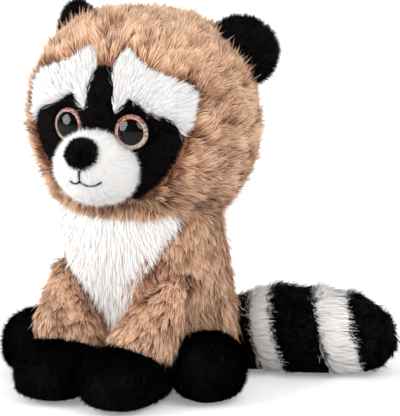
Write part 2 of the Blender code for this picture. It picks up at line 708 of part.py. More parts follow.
def make_tail():
    measures = tail_measures()
    tube = tail_mesh("tail_tube", measures)
    ends = (None, *TAIL_SEAMS, None)
    materials = (black_pile, white_pile, black_pile, white_pile, black_pile)
    for index, material in enumerate(materials):
        work = bmesh.new()
        work.from_mesh(tube)
        bmesh.ops.remove_doubles(work, verts=work.verts, dist=MERGE)
        bmesh.ops.recalc_face_normals(work, faces=work.faces)
        for seam, facing in ((ends[index], -1), (ends[index + 1], 1)):
            if seam is None:
                continue
            spot, along = tail_place(place_at(measures, seam))
            across = along.cross(Vector((0, 0, 1)))
            outward = Matrix.Rotation(TAIL_SLANT, 3, across) @ along * facing
            middle = Vector((spot.x, spot.y, TAIL_RADIUS)) - outward * GAP / 2
            cut_flat(work, middle, outward)
        cut_flat(work, Vector((0, 0, 0)), Vector((0, 0, -1)))
        name = f"tail_band_{index + 1}"
        mesh = bpy.data.meshes.new(name)
        work.to_mesh(mesh)
        work.free()
        smooth(mesh)
        band = add_piece(name, mesh, material)
        if index < BANDS_AT_TORSO:
            boolean(band, "DIFFERENCE", torso_clear)


def centre_on_base():
    """Moves the toy so that its box is centred over the origin and stands on it."""
    bpy.context.view_layer.update()
    graph = bpy.context.evaluated_depsgraph_get()
    corners = []
    for piece in toy.objects:
        if piece.type == "MESH":
            solid = piece.evaluated_get(graph)
            corners += [solid.matrix_world @ Vector(corner) for corner in solid.bound_box]
    low = [min(corner[axis] for corner in corners) for axis in range(3)]
    high = [max(corner[axis] for corner in corners) for axis in range(3)]
    base.location = (-(low[0] + high[0]) / 2, -(low[1] + high[1]) / 2, -low[2])


head, face_mask, brows = make_head()
muzzle = make_muzzle()
make_mouth()
for side_word, side_sign in (("left", 1), ("right", -1)):
    eye_cutter = make_eye_cutter(f"eye_{side_word}_seat", side_sign)
    for carrier in (face_mask, brows[side_word], muzzle, head):
        boolean(carrier, "DIFFERENCE", eye_cutter)
    make_eye(side_word, side_sign)
    make_ear(side_word, side_sign)
    make_limbs(side_word, side_sign)
make_torso()
make_tail()
centre_on_base()
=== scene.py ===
import math
import bpy
import numpy as np
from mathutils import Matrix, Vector, noise
from mathutils.bvhtree import BVHTree
from mathutils.kdtree import KDTree


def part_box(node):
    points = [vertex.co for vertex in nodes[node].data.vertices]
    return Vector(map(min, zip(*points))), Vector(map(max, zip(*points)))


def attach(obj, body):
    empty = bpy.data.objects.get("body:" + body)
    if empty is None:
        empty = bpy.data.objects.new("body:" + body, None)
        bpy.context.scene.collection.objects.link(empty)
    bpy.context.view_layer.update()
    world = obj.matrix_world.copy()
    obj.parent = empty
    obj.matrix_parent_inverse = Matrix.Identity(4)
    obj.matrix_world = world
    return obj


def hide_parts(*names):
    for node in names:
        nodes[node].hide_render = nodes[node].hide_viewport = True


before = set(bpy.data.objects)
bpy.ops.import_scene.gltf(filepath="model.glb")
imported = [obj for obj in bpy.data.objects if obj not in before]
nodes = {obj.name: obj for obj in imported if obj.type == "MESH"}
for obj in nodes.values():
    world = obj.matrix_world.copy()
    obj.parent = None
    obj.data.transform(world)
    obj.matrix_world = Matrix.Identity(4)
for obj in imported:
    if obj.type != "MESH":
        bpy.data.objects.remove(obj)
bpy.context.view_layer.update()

# Places that the pile and the camera are set out from, read off the frame
headLow, headHigh = [Vector(corner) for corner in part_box("head")]
middleX = (headLow.x + headHigh.x) / 2
crownHeight = 0.0495  # from the middle of the head
headHeart = Vector((middleX, (headLow.y + headHigh.y) / 2, headHigh.z - crownHeight))
noseLow, noseHigh = [Vector(corner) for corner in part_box("nose")]
noseTip = Vector((middleX, noseLow.y, (noseLow.z + noseHigh.z) / 2))

cameraLook = {
    "azimuth": 31.0,
    "elevation": 12.5,
    "distance": 1.8,
    "metresPerPixel": 0.0005,
    "aim": Vector((middleX, headHeart.y + 0.0085, 0.090)),
    "aimPixel": (154.0, 199.0),
    "picture": (400, 416),
    "sensor": 36.0,  # millimetres
    "nearest": 0.01,
}


def awayAt(turn, rise):
    # The way out from the toy, turned round from its front and raised
    return Vector((math.sin(turn) * math.cos(rise), -math.cos(turn) * math.cos(rise), math.sin(rise)))


def placeCamera(look):
    turn = math.radians(look["azimuth"])
    rise = math.radians(look["elevation"])
    right = Vector((math.cos(turn), math.sin(turn), 0))
    back = awayAt(turn, rise)
    up = back.cross(right)
    pixels = look["distance"] / look["metresPerPixel"]
    wide, high = look["picture"]
    across = (wide / 2 - look["aimPixel"][0]) / pixels
    below = (high / 2 - look["aimPixel"][1]) / pixels
    gaze = right * across - up * below - back
    bpy.ops.object.camera_add(location=look["aim"] + back * look["distance"])
    camera = bpy.context.object
    camera.name = "photoCamera"
    camera.rotation_euler = gaze.to_track_quat("-Z", "Y").to_euler()
    camera.data.sensor_fit = "VERTICAL"
    camera.data.sensor_height = look["sensor"]
    camera.data.lens = pixels * look["sensor"] / high
    camera.data.clip_start = look["nearest"]
    bpy.context.scene.camera = camera


placeCamera(cameraLook)
print("camera placed")

# Light and floor
lightLook = {
    "worldStrength": 0.73,
    "roomDark": 0.03,  # how bright the room behind the camera looks in the eyes
    "roomEdge": (-0.35, 0.25),  # from the camera's side of the room to the far one
    "aimHeight": 0.11,
    "keyWatts": 6.2,
    "keySize": 0.72,
    "keyTurn": -34.0,  # degrees round from the front, and up
    "keyRise": 22.0,
    "keyDistance": 0.90,
    "fillWatts": 5.6,
    "fillSize": 0.9,
    "fillTurn": 70.0,
    "fillRise": 36.0,
    "fillDistance": 1.1,
    "floorColour": (0.90, 0.90, 0.90, 1),
    "floorGloss": (0.30, 0.29, 0.28, 1),  # how it looks in the eyes
    "floorLift": 0.25,
    "floorFade": (0.25, 1.6),  # the floor goes to white between these distances
    "floorSize": 60,
    "floorRoughness": 0.9,
}


def addLamp(name, watts, size, turn, rise, distance):
    aim = Vector((middleX, headHeart.y, lightLook["aimHeight"]))
    away = awayAt(math.radians(turn), math.radians(rise))
    bpy.ops.object.light_add(type="AREA", location=aim + away * distance)
    lamp = bpy.context.object
    lamp.name = name
    lamp.data.shape = "DISK"
    lamp.data.size = size
    lamp.data.energy = watts
    lamp.rotation_euler = (-away).to_track_quat("-Z", "Y").to_euler()


lampParts = ("Watts", "Size", "Turn", "Rise", "Distance")
for name in ("key", "fill"):
    addLamp(name + "Lamp", *[lightLook[name + part] for part in lampParts])


mixFirst, mixSecond, mixResult = 6, 7, 2  # the colour sockets of a Mix node


def addMath(tree, operation, first, second):
    node = tree.nodes.new("ShaderNodeMath")
    node.operation = operation
    for slot, value in zip(node.inputs, (first, second)):
        if isinstance(value, (int, float)):
            slot.default_value = value
        else:
            tree.links.new(value, slot)
    return node.outputs[0]


def makeWorld(look):
    # White where it is seen, also through glass, and softer where it lights the toy. In gloss the camera's
    # side of the room is dark
    world = bpy.data.worlds.new("studio")
    bpy.context.scene.world = world
    world.use_nodes = True
    tree = world.node_tree
    background = tree.nodes["Background"]
    background.inputs["Color"].default_value = (1, 1, 1, 1)
    path = tree.nodes.new("ShaderNodeLightPath")
    place = tree.nodes.new("ShaderNodeTexCoord")
    split = tree.nodes.new("ShaderNodeSeparateXYZ")
    tree.links.new(place.outputs["Generated"], split.inputs["Vector"])
    room = tree.nodes.new("ShaderNodeMapRange")
    room.interpolation_type = "SMOOTHSTEP"
    room.inputs["From Min"].default_value, room.inputs["From Max"].default_value = look["roomEdge"]
    room.inputs["To Min"].default_value = look["roomDark"]
    room.inputs["To Max"].default_value = 1.0
    tree.links.new(split.outputs["Y"], room.inputs["Value"])
    gloss = addMath(tree, "MULTIPLY", path.outputs["Is Glossy Ray"], room.outputs["Result"])
    seenRays = [path.outputs[kind] for kind in ("Is Camera Ray", "Is Transmission Ray")]
    direct = addMath(tree, "MAXIMUM", *seenRays)
    either = addMath(tree, "MAXIMUM", path.outputs["Is Glossy Ray"], direct)
    seen = addMath(tree, "MAXIMUM", gloss, direct)
    unseen = addMath(tree, "SUBTRACT", 1.0, either)
    lit = addMath(tree, "MULTIPLY", unseen, look["worldStrength"])
    tree.links.new(addMath(tree, "ADD", seen, lit), background.inputs["Strength"])


def makeFloor(look):
    bpy.ops.mesh.primitive_plane_add(size=look["floorSize"], location=(0, 0, 0))
    floor = bpy.context.object
    floor.name = "floor"
    material = bpy.data.materials.new("paleFloor")
    material.use_nodes = True
    tree = material.node_tree
    shader = tree.nodes["Principled BSDF"]
    shader.inputs["Roughness"].default_value = look["floorRoughness"]
    shader.inputs["Specular IOR Level"].default_value = 0.0
    shader.inputs["Emission Color"].default_value = (1, 1, 1, 1)
    place = tree.nodes.new("ShaderNodeTexCoord")
    distance = tree.nodes.new("ShaderNodeVectorMath")
    distance.operation = "LENGTH"
    tree.links.new(place.outputs["Object"], distance.inputs[0])
    fade = tree.nodes.new("ShaderNodeMapRange")
    fade.interpolation_type = "SMOOTHSTEP"
    fade.inputs["From Min"].default_value, fade.inputs["From Max"].default_value = look["floorFade"]
    fade.inputs["To Min"].default_value = look["floorLift"]
    fade.inputs["To Max"].default_value = 1.0
    tree.links.new(distance.outputs["Value"], fade.inputs["Value"])
    path = tree.nodes.new("ShaderNodeLightPath")
    seenRays = [path.outputs[kind] for kind in ("Is Camera Ray", "Is Transmission Ray")]
    seen = addMath(tree, "MAXIMUM", *seenRays)
    paint = tree.nodes.new("ShaderNodeMix")
    paint.data_type = "RGBA"
    paint.inputs[mixFirst].default_value = look["floorColour"]
    paint.inputs[mixSecond].default_value = look["floorGloss"]
    tree.links.new(path.outputs["Is Glossy Ray"], paint.inputs["Factor"])
    tree.links.new(paint.outputs[mixResult], shader.inputs["Base Color"])
    glow = addMath(tree, "MULTIPLY", seen, fade.outputs["Result"])
    tree.links.new(glow, shader.inputs["Emission Strength"])
    floor.data.materials.append(material)


makeWorld(lightLook)
makeFloor(lightLook)
bpy.context.scene.view_settings.view_transform = "Standard"
print("light and floor ready")


# Materials
threadLook = {
    "roughness": 0.6,
    "toneScale": 320.0,
    "sheenRoughness": 0.5,
    "groundRoughness": 0.95,
    "groundSpecular": 0.03,
    "groundToneScale": 900.0,
    "knitScale": 1400.0,
    "knitStrength": 0.5,
    "knitDepth": 0.0003,
}


def makeToneGroup():
    # A colour made lighter and darker by a soft noise, as dyed fibre is
    group = bpy.data.node_groups.new("fibreTone", "ShaderNodeTree")
    group.interface.new_socket("colour", in_out="INPUT", socket_type="NodeSocketColor")
    group.interface.new_socket("scale", in_out="INPUT", socket_type="NodeSocketFloat")
    group.interface.new_socket("depth", in_out="INPUT", socket_type="NodeSocketFloat")
    group.interface.new_socket("colour", in_out="OUTPUT", socket_type="NodeSocketColor")
    given = group.nodes.new("NodeGroupInput")
    made = group.nodes.new("NodeGroupOutput")
    place = group.nodes.new("ShaderNodeTexCoord")
    cloud = group.nodes.new("ShaderNodeTexNoise")
    cloud.inputs["Detail"].default_value = 3.0
    centred = group.nodes.new("ShaderNodeMath")
    centred.operation = "SUBTRACT"
    centred.inputs[1].default_value = 0.5
    spread = group.nodes.new("ShaderNodeMath")
    spread.operation = "MULTIPLY_ADD"
    spread.inputs[2].default_value = 1.0
    tinted = group.nodes.new("ShaderNodeVectorMath")
    tinted.operation = "SCALE"
    group.links.new(place.outputs["Object"], cloud.inputs["Vector"])
    group.links.new(given.outputs["scale"], cloud.inputs["Scale"])
    group.links.new(cloud.outputs["Fac"], centred.inputs[0])
    group.links.new(centred.outputs[0], spread.inputs[0])
    group.links.new(given.outputs["depth"], spread.inputs[1])
    group.links.new(given.outputs["colour"], tinted.inputs[0])
    group.links.new(spread.outputs[0], tinted.inputs["Scale"])
    group.links.new(tinted.outputs["Vector"], made.inputs["colour"])
    return group


toneGroup = makeToneGroup()


def newMaterial(name, roughness, specular, sheen=0.0):
    material = bpy.data.materials.new(name)
    material.use_nodes = True
    shader = material.node_tree.nodes["Principled BSDF"]
    shader.inputs["Roughness"].default_value = roughness
    shader.inputs["Specular IOR Level"].default_value = specular
    shader.inputs["Sheen Weight"].default_value = sheen
    shader.inputs["Sheen Roughness"].default_value = threadLook["sheenRoughness"]
    return material, material.node_tree, shader


def addTone(tree, shader, scale, depth):
    tone = tree.nodes.new("ShaderNodeGroup")
    tone.node_tree = toneGroup
    tone.inputs["scale"].default_value = scale
    tone.inputs["depth"].default_value = depth
    tree.links.new(tone.outputs["colour"], shader.inputs["Base Color"])
    return tone


def makePileMaterial(name, specular, sheen, depth):
    # Each fibre carries its own colour from root to tip
    material, tree, shader = newMaterial(name, threadLook["roughness"], specular, sheen)
    fibre = tree.nodes.new("ShaderNodeAttribute")
    fibre.attribute_name = "fibreColour"
    tone = addTone(tree, shader, threadLook["toneScale"], depth)
    tree.links.new(fibre.outputs["Color"], tone.inputs["colour"])
    return material


def makeClothMaterial(name, colour, depth):
    # The knitted ground that the pile stands on
    look = threadLook
    material, tree, shader = newMaterial(name, look["groundRoughness"], look["groundSpecular"])
    tone = addTone(tree, shader, look["groundToneScale"], depth)
    tone.inputs["colour"].default_value = (*colour, 1)
    place = tree.nodes.new("ShaderNodeTexCoord")
    knit = tree.nodes.new("ShaderNodeTexVoronoi")
    knit.inputs["Scale"].default_value = look["knitScale"]
    bump = tree.nodes.new("ShaderNodeBump")
    bump.inputs["Strength"].default_value = look["knitStrength"]
    bump.inputs["Distance"].default_value = look["knitDepth"]
    tree.links.new(place.outputs["Object"], knit.inputs["Vector"])
    tree.links.new(knit.outputs["Distance"], bump.inputs["Height"])
    tree.links.new(bump.outputs["Normal"], shader.inputs["Normal"])
    return material


fibreLook = {
    "brown": {
        "root": (0.15, 0.052, 0.028), "middle": (0.64, 0.345, 0.20), "tip": (0.98, 0.745, 0.545),
        "cloth": (0.26, 0.115, 0.065), "slot": "brown_pile", "specular": 0.08, "sheen": 0.05, "depth": 0.25,
    },
    "white": {
        "root": (0.90, 0.875, 0.86), "middle": (0.94, 0.925, 0.915), "tip": (0.97, 0.955, 0.94),
        "cloth": (0.88, 0.86, 0.85), "slot": "white_pile", "specular": 0.10, "sheen": 0.1, "depth": 0.03,
    },
    "black": {
        "root": (0.0006, 0.0006, 0.0006), "middle": (0.0008, 0.0008, 0.0008), "tip": (0.014, 0.012, 0.012),
        "cloth": (0.0010, 0.0010, 0.0010), "slot": "black_pile", "specular": 0.02, "sheen": 0.0, "depth": 0.5,
    },
}
pileMaterial = {}
clothMaterial = {}
for dye, look in fibreLook.items():
    pileMaterial[dye] = makePileMaterial(dye + "Pile", look["specular"], look["sheen"], look["depth"])
    clothMaterial[dye] = makeClothMaterial(dye + "Ground", look["cloth"], look["depth"])
print("pile materials ready")


# Stuffed bodies under the pile
def chooseOnly(piece):
    bpy.ops.object.select_all(action="DESELECT")
    piece.select_set(True)
    bpy.context.view_layer.objects.active = piece


def finishModifiers(piece):
    chooseOnly(piece)
    for modifier in list(piece.modifiers):
        bpy.ops.object.modifier_apply(modifier=modifier.name)


fillingLook = {
    "weld": 0.00001,
    "soften": 0.5,
    "rounds": 4,
    "lumpSize": 0.012,
    "lump": 0.0006,
}
clothLook = {
    "pressure": 4.0,
    "slack": 0.04,  # the cover is cut this much larger than its filling, so it puckers where it is sewn
    "steps": 12,
    "seamReach": 0.0026,  # cloth this near another piece is held
}
solidTrees = {}
for name, solid in nodes.items():
    solidTrees[name] = BVHTree.FromPolygons([vertex.co for vertex in solid.data.vertices],
                                            [polygon.vertices for polygon in solid.data.polygons])


def readPoints(mesh):
    points = np.empty(len(mesh.vertices) * 3)
    mesh.vertices.foreach_get("co", points)
    return points.reshape(-1, 3)


def heldCloth(piece, node, look):
    held = []
    for vertex in piece.data.vertices:
        sewn = any(tree.find_nearest(vertex.co, look["seamReach"])[0] is not None
                   for name, tree in solidTrees.items() if name != node)
        if sewn or vertex.co.z < look["seamReach"]:
            held.append(vertex.index)
    return held


def swellCovers(covers, look):
    # Cloth simulation: each cover is blown up by its filling and held where it is sewn or lies on the floor
    for piece, node, cap in covers:
        group = piece.vertex_groups.new(name="held")
        group.add(heldCloth(piece, node, look), 1.0, "REPLACE")
        cloth = piece.modifiers.new("cover", "CLOTH")
        cloth.settings.use_pressure = True
        cloth.settings.uniform_pressure_force = look["pressure"]
        cloth.settings.shrink_min = -look["slack"]
        cloth.settings.effector_weights.gravity = 0
        cloth.settings.vertex_group_mass = group.name
        cloth.point_cache.frame_start = 1
        cloth.point_cache.frame_end = look["steps"]
    for step in range(1, look["steps"] + 1):
        bpy.context.scene.frame_set(step)
    graph = bpy.context.evaluated_depsgraph_get()
    moved = {}
    for piece, node, cap in covers:
        still = readPoints(piece.data)
        moves = readPoints(piece.evaluated_get(graph).data) - still
        far = np.maximum(np.linalg.norm(moves, axis=1), cap)[:, None]
        moved[node] = moves * cap / far
        piece.modifiers.remove(piece.modifiers["cover"])
        piece.vertex_groups.clear()
        piece.data.vertices.foreach_set("co", (still + moved[node]).ravel())
        piece.data.update()
        mean = float(np.linalg.norm(moved[node], axis=1).mean())
        print("swollen", node, "by", round(mean * 1000, 2), "mm on average")
    bpy.context.scene.frame_set(1)
    return moved


lumps = bpy.data.textures.new("fillingLumps", "CLOUDS")
lumps.noise_scale = fillingLook["lumpSize"]


def makeStuffedBody(node, dye, cell, flat, look):
    # The CAD solid, softened, and if it isn't a flat panel given the small lumps of its filling
    piece = nodes[node].copy()
    piece.data = nodes[node].data.copy()
    piece.name = node + "_body"
    bpy.context.scene.collection.objects.link(piece)
    chooseOnly(piece)
    bpy.ops.object.mode_set(mode="EDIT")
    bpy.ops.mesh.select_all(action="SELECT")
    bpy.ops.mesh.remove_doubles(threshold=look["weld"])
    bpy.ops.object.mode_set(mode="OBJECT")
    remesh = piece.modifiers.new("even skin", "REMESH")
    remesh.mode = "VOXEL"
    remesh.voxel_size = cell
    soften = piece.modifiers.new("soften", "SMOOTH")
    soften.factor = look["soften"]
    soften.iterations = look["rounds"]
    if not flat:
        filling = piece.modifiers.new("filling", "DISPLACE")
        filling.texture = lumps
        filling.texture_coords = "LOCAL"
        filling.strength = look["lump"]
        filling.mid_level = 0.5
    finishModifiers(piece)
    bpy.ops.object.shade_smooth()
    piece.data.materials.clear()
    piece.data.materials.append(clothMaterial[dye])
    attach(piece, "root")
    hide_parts(node)
    return piece


# The dye of each body and the cell that it is remeshed with
bodyLook = {
    "head": ("brown", 0.0024),
    "torso": ("brown", 0.0024),
    "chest_panel": ("white", 0.0010),
    "front_leg_left": ("brown", 0.0020),
    "front_leg_right": ("brown", 0.0020),
    "face_mask": ("black", 0.0010),
    "brow_left": ("white", 0.0010),
    "brow_right": ("white", 0.0010),
    "muzzle": ("white", 0.0015),
    "nose": ("black", 0.0010),
    "ear_left": ("black", 0.0014),
    "ear_right": ("black", 0.0014),
    "front_paw_left": ("black", 0.0018),
    "front_paw_right": ("black", 0.0018),
    "hind_foot_left": ("black", 0.0018),
    "hind_foot_right": ("black", 0.0018),
    "tail_band_1": ("black", 0.0018),
    "tail_band_2": ("white", 0.0018),
    "tail_band_3": ("black", 0.0018),
    "tail_band_4": ("white", 0.0018),
    "tail_band_5": ("black", 0.0018),
}
sewnPanels = ("chest_panel", "face_mask", "brow_left", "brow_right")
bodies = {}
for node, (dye, cell) in bodyLook.items():
    bodies[node] = makeStuffedBody(node, dye, cell, node in sewnPanels, fillingLook)
print("stuffed bodies ready", sum(len(piece.data.polygons) for piece in bodies.values()), "faces")


# Pile
noise.seed_set(7)  # without a seed the noise that swirls the fibres would start from the clock


class Skin:
    # The triangles and smooth normals of a body, for setting fibres on it
    def __init__(self, piece):
        mesh = piece.data
        mesh.calc_loop_triangles()
        self.points = readPoints(mesh)
        self.normals = np.empty(len(mesh.vertices) * 3)
        mesh.vertices.foreach_get("normal", self.normals)
        self.normals = self.normals.reshape(-1, 3)
        self.triangles = np.empty(len(mesh.loop_triangles) * 3, dtype=int)
        mesh.loop_triangles.foreach_get("vertices", self.triangles)
        self.triangles = self.triangles.reshape(-1, 3)
        corners = self.points[self.triangles]
        crossed = np.cross(corners[:, 1] - corners[:, 0], corners[:, 2] - corners[:, 0])
        self.areas = np.linalg.norm(crossed, axis=1) / 2
        self.moves = np.zeros_like(self.points)
        self.low = self.points.min(axis=0)
        self.high = self.points.max(axis=0)
        self.tree = BVHTree.FromPolygons([tuple(point) for point in self.points],
                                         [tuple(triangle) for triangle in self.triangles])

    def scatter(self, rng, perSquareCentimetre):
        squareCentimetres = self.areas.sum() * 100 ** 2
        count = int(squareCentimetres * perSquareCentimetre)
        chosen = rng.choice(len(self.areas), count, p=self.areas / self.areas.sum())
        first = np.sqrt(rng.random(count))[:, None]
        second = rng.random(count)[:, None]
        weights = np.concatenate([1 - first, first * (1 - second), first * second], axis=1)
        spots = (self.points[self.triangles[chosen]] * weights[:, :, None]).sum(axis=1)
        normals = unit((self.normals[self.triangles[chosen]] * weights[:, :, None]).sum(axis=1))
        moves = (self.moves[self.triangles[chosen]] * weights[:, :, None]).sum(axis=1)
        return spots, normals, moves


def unit(vectors):
    return vectors / np.maximum(np.linalg.norm(vectors, axis=1), 1e-9)[:, None]


def along(vectors, normals):
    # The part of each direction that runs along the cloth
    flat = vectors - normals * (vectors * normals).sum(axis=1)[:, None]
    return unit(flat)


skins = {node: Skin(piece) for node, piece in bodies.items()}
skins["mouth_stitching"] = Skin(nodes["mouth_stitching"])
swellCap = {
    "front_paw_left": 0.0004, "front_paw_right": 0.0004, "hind_foot_left": 0.0004, "hind_foot_right": 0.0004,
    "muzzle": 0.0004, "nose": 0.0003, "ear_left": 0.0006, "ear_right": 0.0006, "others": 0.0010,
}
covers = [(piece, node, swellCap.get(node, swellCap["others"]))
          for node, piece in bodies.items() if node not in sewnPanels]
for node, moves in swellCovers(covers, clothLook).items():
    skins[node].moves = moves


def keepOpenCloth(spots, neighbours, reach):
    # Fibres are left off where another piece presses on the cloth
    keep = np.ones(len(spots), dtype=bool)
    for other in neighbours:
        skin = skins[other]
        near = keep & np.all((spots > skin.low - reach) & (spots < skin.high + reach), axis=1)
        for index in np.nonzero(near)[0]:
            if skin.tree.find_nearest(Vector(spots[index]), reach)[0] is not None:
                keep[index] = False
    return keep


def nearness(spots, seams, reach):
    # 1 at the seam with another panel, falling to 0 at some distance from it
    near = np.zeros(len(spots))
    for other in seams:
        skin = skins[other]
        close = np.all((spots > skin.low - reach) & (spots < skin.high + reach), axis=1)
        for index in np.nonzero(close)[0]:
            distance = skin.tree.find_nearest(Vector(spots[index]), reach)[3]
            if distance is not None:
                near[index] = max(near[index], 1 - distance / reach)
    return near


def drawFibres(name, skin, perCm2):
    # The pile's own seed, and each fibre's chances drawn before any is left out, keep the toy the same each run
    rng = np.random.default_rng(list(name.encode()))
    spots, normals, moves = skin.scatter(rng, perCm2)
    count = len(spots)
    return {
        "spots": spots, "normals": normals, "moves": moves, "mess": rng.normal(0, 1, (count, 3)),
        "length": rng.uniform(-1, 1, count), "stray": rng.random(count), "lift": rng.normal(0, 1, count),
        "lead": rng.random(count), "pull": rng.uniform(0.55, 1.0, count), "floor": rng.random(count),
        "roll": rng.uniform(-1, 1, count), "width": rng.uniform(0.75, 1.25, count),
        "facing": rng.normal(0, 1, (count, 3)), "patch": rng.normal(0, 1, count),
        "fleck": rng.normal(0, 1, count),
    }


# What all the piles have in common
fibreRules = {
    "soleHeight": 0.0012,  # cloth lower than this that faces down is bare
    "soleFacing": -0.5,
    "leastPressed": 0.3,  # the share of its length that pressed pile keeps
    "liftSpread": 0.08,
    "strayLift": 0.35,  # stray fibres stand out, are longer and keep out of the tufts
    "strayLength": 0.15,
    "strayPull": 0.3,
    "perkLength": 0.6,
    "rootDepth": 0.0003,
    "tipAside": 0.15,  # how much of its distance from the leader a fibre keeps in a tuft
    "middleAside": 0.55,
    "middlePull": 0.45,
    "floorHeight": 0.0004,
    "floorRest": 0.0002,
    "floorSpread": 0.0006,
    "middleWidth": 0.9,
    "facingSpread": 0.06,
    "tipDark": 0.35,
    "tipTone": 0.9,
}


def keepRows(rows, keep):
    return {word: row[keep] for word, row in rows.items()}


def growPile(name, node, dye, look, flow, neighbours=(), mask=None, bare=None, seams=(), perk=None):
    skin = skins[node]
    rules = fibreRules
    fibres = drawFibres(name, skin, look["perCm2"])
    spots, normals = fibres["spots"], fibres["normals"]
    keep = keepOpenCloth(spots, neighbours, look["clear"])
    keep &= ~((spots[:, 2] < rules["soleHeight"]) & (normals[:, 2] < rules["soleFacing"]))
    if mask is not None:
        keep &= mask(spots)
    fibres = keepRows(fibres, keep)
    spots, normals = fibres["spots"], fibres["normals"]
    swirl = np.array([noise.noise_vector(Vector(spot) * look["curl"]) for spot in spots])
    combed = flow(spots, normals) + swirl * look["swirl"] + fibres["mess"] * look["mess"]
    combed = along(combed, normals)
    length = look["length"] * (1 + look["vary"] * fibres["length"])
    length *= np.clip(spots[:, 2] / look["press"], rules["leastPressed"], 1)
    seam = nearness(spots, seams, look["seamReach"])
    length *= 1 - seam * look["seamTrim"]
    stray = fibres["stray"] < look["stray"]
    length *= 1 + stray * rules["strayLength"]
    lift = look["lift"] + fibres["lift"] * rules["liftSpread"] + stray * rules["strayLift"]
    if perk is not None:
        fluff = perk(spots, normals)
        lift += fluff
        length *= 1 + fluff * rules["perkLength"]
    length = length[:, None]
    lift = lift[:, None]
    start = combed * np.cos(lift) + normals * np.sin(lift)
    bent = lift - look["bend"]
    end = combed * np.cos(bent) + normals * np.sin(bent)
    end[:, 2] -= look["droop"]
    roots = spots - normals * rules["rootDepth"]
    middles = roots + start * length * 0.5
    tips = middles + unit(end) * length * 0.5
    fibres.update({"roots": roots, "middles": middles, "tips": tips, "seam": seam})
    if bare is not None:
        clearings = [keepOpenCloth(points, (bare,), look["groove"]) for points in (roots, middles, tips)]
        fibres = keepRows(fibres, np.all(clearings, axis=0))
    spots, normals, seam = fibres["spots"], fibres["normals"], fibres["seam"]
    roots, middles, tips = fibres["roots"], fibres["middles"], fibres["tips"]
    stray = fibres["stray"] < look["stray"]

    # Fibres lean together in tufts
    tufts = max(int(skin.areas.sum() / look["tuft"] ** 2), 1)
    leaders = np.argsort(fibres["lead"])[:tufts]
    finder = KDTree(len(leaders))
    for index, leader in enumerate(leaders):
        finder.insert(Vector(spots[leader]), index)
    finder.balance()
    owner = np.array([finder.find(Vector(spot))[1] for spot in spots])
    leader = leaders[owner]
    pull = (look["pull"] * fibres["pull"] * np.where(stray, rules["strayPull"], 1.0))[:, None]
    aside = roots - roots[leader]
    tips = tips * (1 - pull) + (tips[leader] + aside * rules["tipAside"]) * pull
    pull = pull * rules["middlePull"]
    middles = middles * (1 - pull) + (middles[leader] + aside * rules["middleAside"]) * pull

    # The pile goes with its cover, and nothing reaches through the surface that the toy sits on
    for points in (roots, middles, tips):
        low = points[:, 2] < rules["floorHeight"]
        points[low, 2] = rules["floorRest"] + fibres["floor"][low] * rules["floorSpread"]
        points += fibres["moves"]
        points[:, 2] = np.maximum(points[:, 2], rules["floorRest"])

    # Flat slivers that face outwards: long ones bend in three triangles, short ones are one
    lean = unit(tips - roots)
    across = unit(np.cross(lean, normals))
    roll = (look["roll"] * fibres["roll"])[:, None]
    across = across * np.cos(roll) + np.cross(lean, across) * np.sin(roll)
    half = across * look["width"] * 0.5 * fibres["width"][:, None]
    facing = unit(np.cross(across, lean))
    soft = normals * look["soft"] + facing * (1 - look["soft"])
    soft = unit(soft + fibres["facing"] * rules["facingSpread"])

    # Dye: darker roots, paler tips, with streaks that follow the tufts
    tuftTone = np.array([noise.noise(Vector(spots[one]) * look["streak"]) for one in leaders])
    tuftTone = tuftTone + fibres["patch"][leaders] * look["patch"]
    tone = (tuftTone[owner] * look["streakDepth"] + fibres["fleck"] * look["fleck"])[:, None]
    # Near a seam the dye is darker: the dark roots of the trimmed pile, and painted shade where the panel is
    # sewn in
    tone = tone - seam[:, None] * look["seamDark"]
    dyes = fibreLook[dye]
    shade = look["shade"]
    rootTone = np.clip(np.array(dyes["root"]) * shade * (1 + tone), 0, 1)
    middleMix = np.clip(look["dark"] - tone, 0, 1)
    middleTone = (np.array(dyes["middle"]) * (1 - middleMix) + np.array(dyes["root"]) * middleMix) * shade
    tipMix = np.clip(look["dark"] * rules["tipDark"] - tone * rules["tipTone"], 0, 1)
    tipTone = (np.array(dyes["tip"]) * (1 - tipMix) + np.array(dyes["middle"]) * tipMix) * shade
    if look["bent"]:
        narrow = half * rules["middleWidth"]
        points = [roots - half, roots + half, middles + narrow, middles - narrow, tips]
        colours = [rootTone, rootTone, middleTone, middleTone, tipTone]
        corners = ((0, 1, 2), (0, 2, 3), (3, 2, 4))
    else:
        points = [roots - half, roots + half, tips]
        colours = [middleTone, middleTone, tipTone]
        corners = ((0, 1, 2),)
    first = np.arange(len(spots))[:, None] * len(points)
    faces = np.stack([first + np.array(corner) for corner in corners], axis=1)
    piece = buildFibres(name, np.stack(points, axis=1).reshape(-1, 3), faces.reshape(-1, 3),
                        np.stack(colours, axis=1).reshape(-1, 3), np.repeat(soft, len(points), axis=0))
    piece.data.materials.append(pileMaterial[dye])
    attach(piece, "root")
    print(name, len(piece.data.polygons), "triangles")


def buildFibres(name, points, faces, colours, normals):
    mesh = bpy.data.meshes.new(name)
    mesh.vertices.add(len(points))
    mesh.vertices.foreach_set("co", points.ravel().astype(np.float32))
    mesh.loops.add(faces.size)
    mesh.loops.foreach_set("vertex_index", faces.ravel().astype(np.int32))
    mesh.polygons.add(len(faces))
    mesh.polygons.foreach_set("loop_start", np.arange(0, faces.size, 3, dtype=np.int32))
    mesh.update(calc_edges=True)
    mesh.polygons.foreach_set("use_smooth", np.ones(len(faces), dtype=bool))
    attribute = mesh.color_attributes.new("fibreColour", "FLOAT_COLOR", "POINT")
    rows = np.concatenate([colours, np.ones((len(colours), 1))], axis=1)
    attribute.data.foreach_set("color", rows.ravel().astype(np.float32))
    mesh.normals_split_custom_set_from_vertices([tuple(normal) for normal in normals])
    piece = bpy.data.objects.new(name, mesh)
    bpy.context.scene.collection.objects.link(piece)
    return piece


